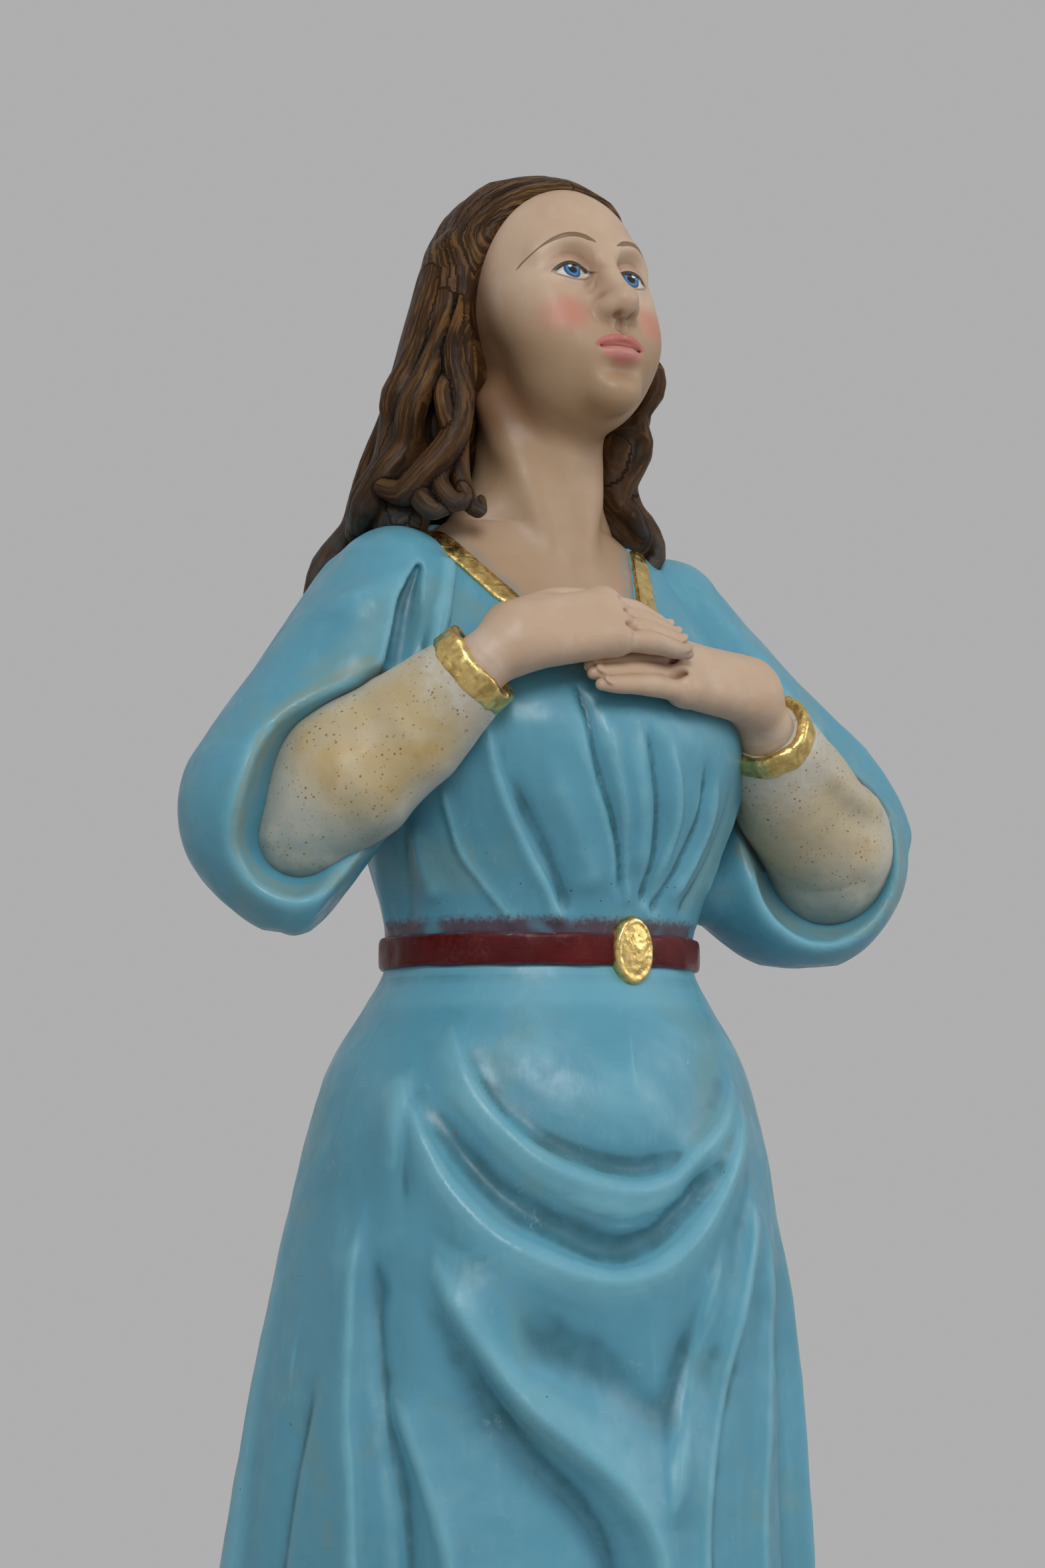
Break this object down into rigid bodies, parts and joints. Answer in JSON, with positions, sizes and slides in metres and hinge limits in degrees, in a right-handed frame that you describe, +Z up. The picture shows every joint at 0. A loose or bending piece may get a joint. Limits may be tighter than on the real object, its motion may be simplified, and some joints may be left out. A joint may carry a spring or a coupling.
{
  "type": "devotional statue",
  "caption": "Painted statue of a robed, long-haired standing figure, head lifted and hands crossed on the chest, on a stepped oval plinth.",
  "frame": {"origin": "middle of the plinth's underside, on the surface that the statue stands on", "axes": "+Z up, the figure faces -Y, +X towards the figure's own left"},
  "size_m": [0.1895, 0.158, 0.4625],
  "materials": {
    "robe_paint": "satin hand-painted turquoise blue over cast resin",
    "skin_paint": "satin flesh paint over cast resin",
    "hair_paint": "brown paint with golden dry-brushed highlights",
    "cream_paint": "off-white paint with ochre speckles",
    "gold_leaf": "crinkled gold leaf over cast resin",
    "belt_paint": "worn dark red paint",
    "plinth_wood": "stained and waxed",
    "felt": "green felt",
    "peg_wood": "plain",
    "pin_steel": "plain wire and screws"
  },
  "bodies": {
    "root": {"base_screws": "pin_steel", "belt": "belt_paint", "bodice": "robe_paint", "buckle": "gold_leaf", "felt_pad": "felt", "hair": "hair_paint", "head_and_neck": "skin_paint", "left_cuff": "gold_leaf", "left_hand": "skin_paint", "left_shoulder_dowel": "peg_wood", "left_sleeve": "robe_paint", "left_undersleeve": "cream_paint", "left_wrist_pin": "pin_steel", "neck_dowel": "peg_wood", "neckline_trim": "gold_leaf", "plinth": "plinth_wood", "right_cuff": "gold_leaf", "right_hand": "skin_paint", "right_shoulder_dowel": "peg_wood", "right_sleeve": "robe_paint", "right_undersleeve": "cream_paint", "right_wrist_pin": "pin_steel", "skirt": "robe_paint"}
  },
  "joints": []
}
